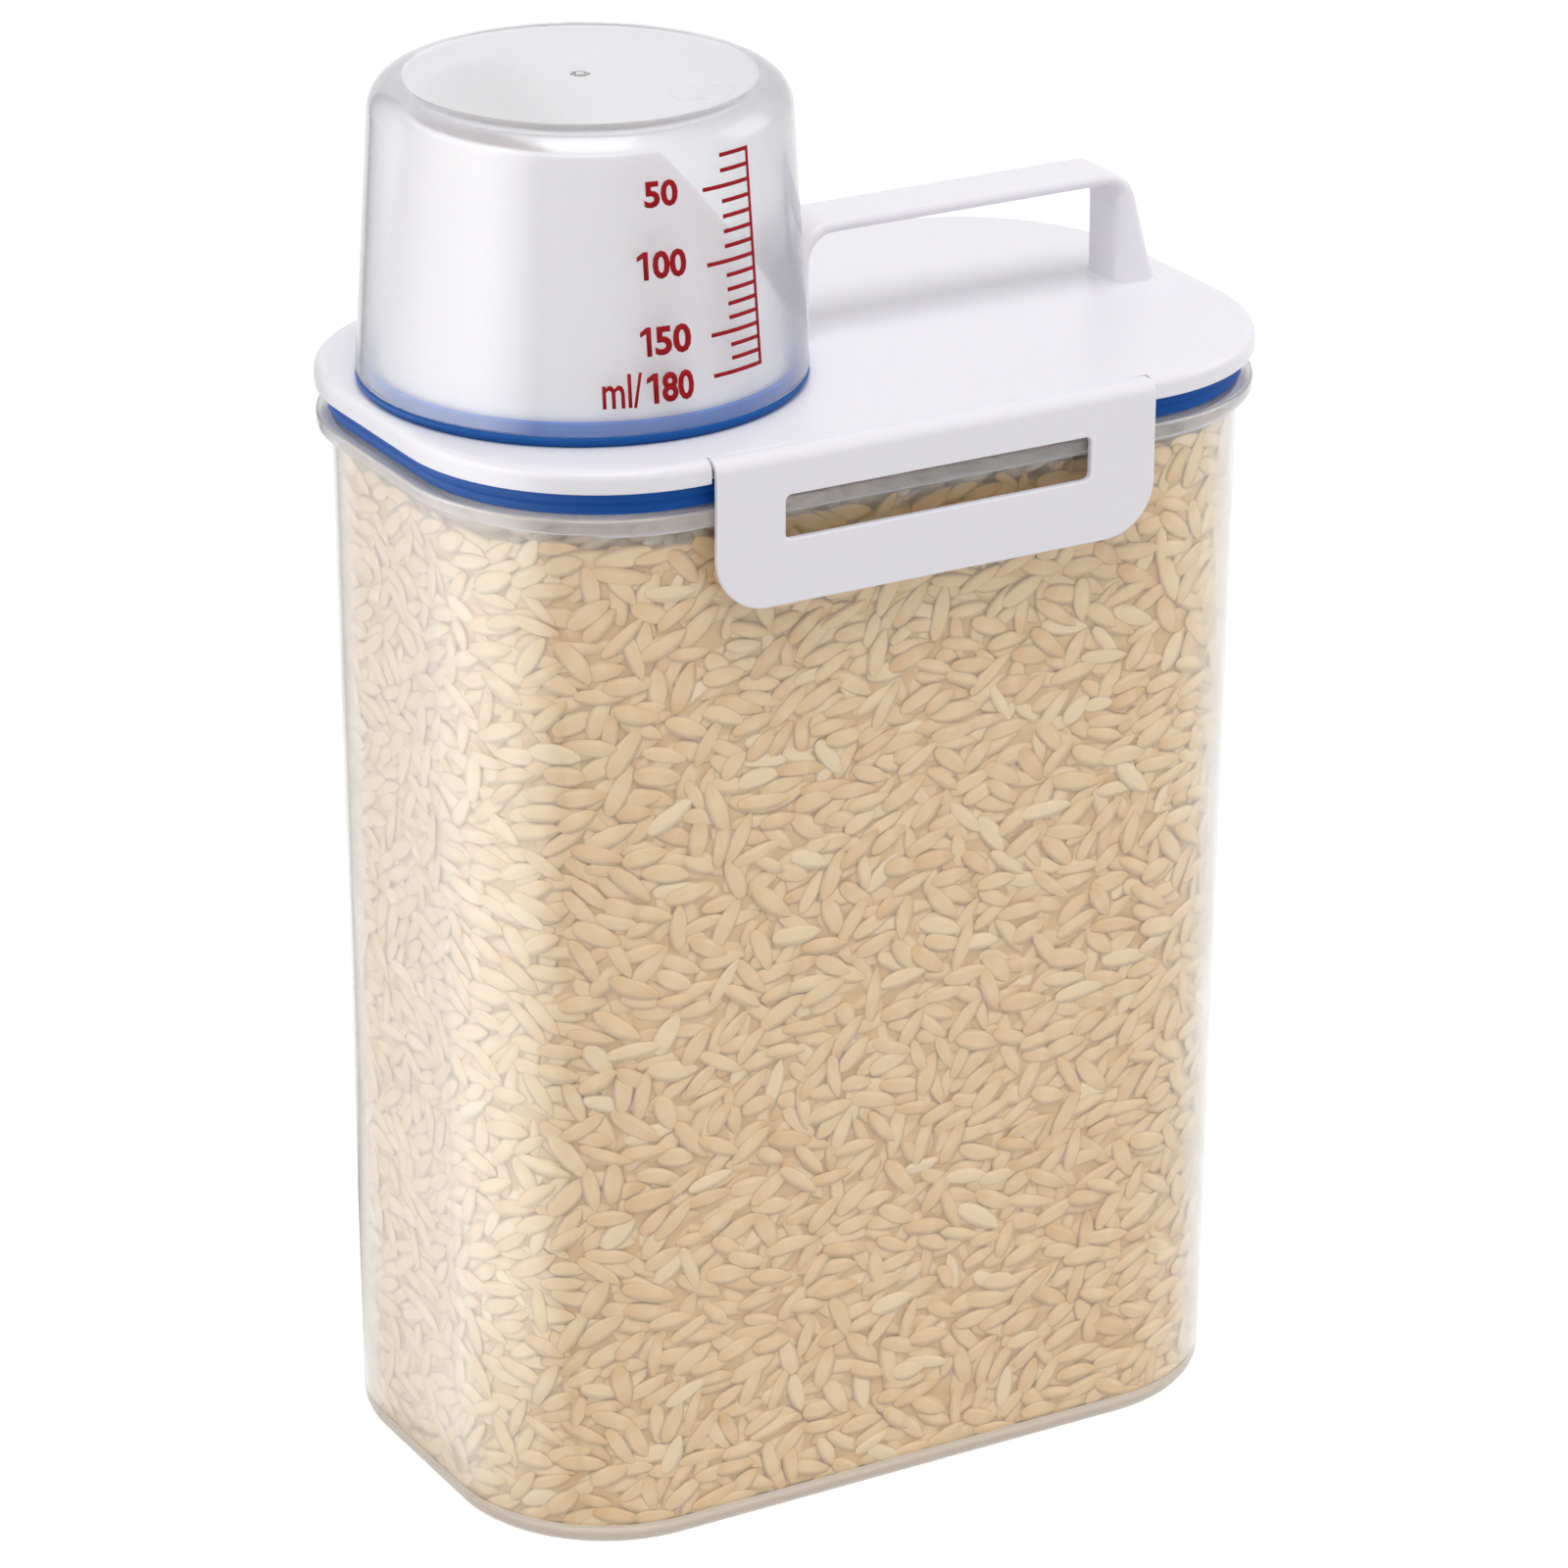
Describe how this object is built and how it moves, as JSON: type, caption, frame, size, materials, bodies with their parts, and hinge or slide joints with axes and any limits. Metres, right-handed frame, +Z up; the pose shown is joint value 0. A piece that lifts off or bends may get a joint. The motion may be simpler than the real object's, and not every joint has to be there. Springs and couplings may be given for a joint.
{
  "type": "rice bin",
  "caption": "Clear tapered dry-food bin with a latched white lid, carry handle, cut-back pouring spout and a graduated measuring cup that caps the spout.",
  "frame": {"origin": "middle of the base, on the surface the bin stands on", "axes": "+X to the end that the handle is on, away from the cup; +Y to the back latch; +Z up"},
  "size_m": [0.1674, 0.107, 0.2659],
  "materials": {
    "clear_plastic": "clear, faintly hazy moulded plastic",
    "white_plastic": "white moulded plastic, satin",
    "blue_seal": "blue silicone, satin",
    "rice_grain": null
  },
  "bodies": {
    "container": {"container": "clear_plastic", "rice": "rice_grain"},
    "lid": {"lid": "white_plastic", "lid_seal": "blue_seal", "handle": "white_plastic", "spout": "white_plastic", "cup_seal": "blue_seal"},
    "front_latch": {"latch_front": "white_plastic"},
    "back_latch": {"latch_back": "white_plastic"},
    "cup": {"measuring_cup": "clear_plastic"}
  },
  "joints": [
    {"name": "lid_lift", "type": "slide", "parent": "container", "child": "lid", "axis": [0, 0, 1], "range_m": [0, 0.06]},
    {"name": "cup_lift", "type": "slide", "parent": "lid", "child": "cup", "axis": [0, 0, 1], "range_m": [0, 0.055]},
    {"name": "front_latch_swing", "type": "hinge", "parent": "lid", "child": "front_latch", "pos_m": [0, -0.0498, 0.2106], "axis": [-1, 0, 0], "range_deg": [0, 110]},
    {"name": "back_latch_swing", "type": "hinge", "parent": "lid", "child": "back_latch", "pos_m": [0, 0.0498, 0.2106], "axis": [1, 0, 0], "range_deg": [0, 110]}
  ]
}
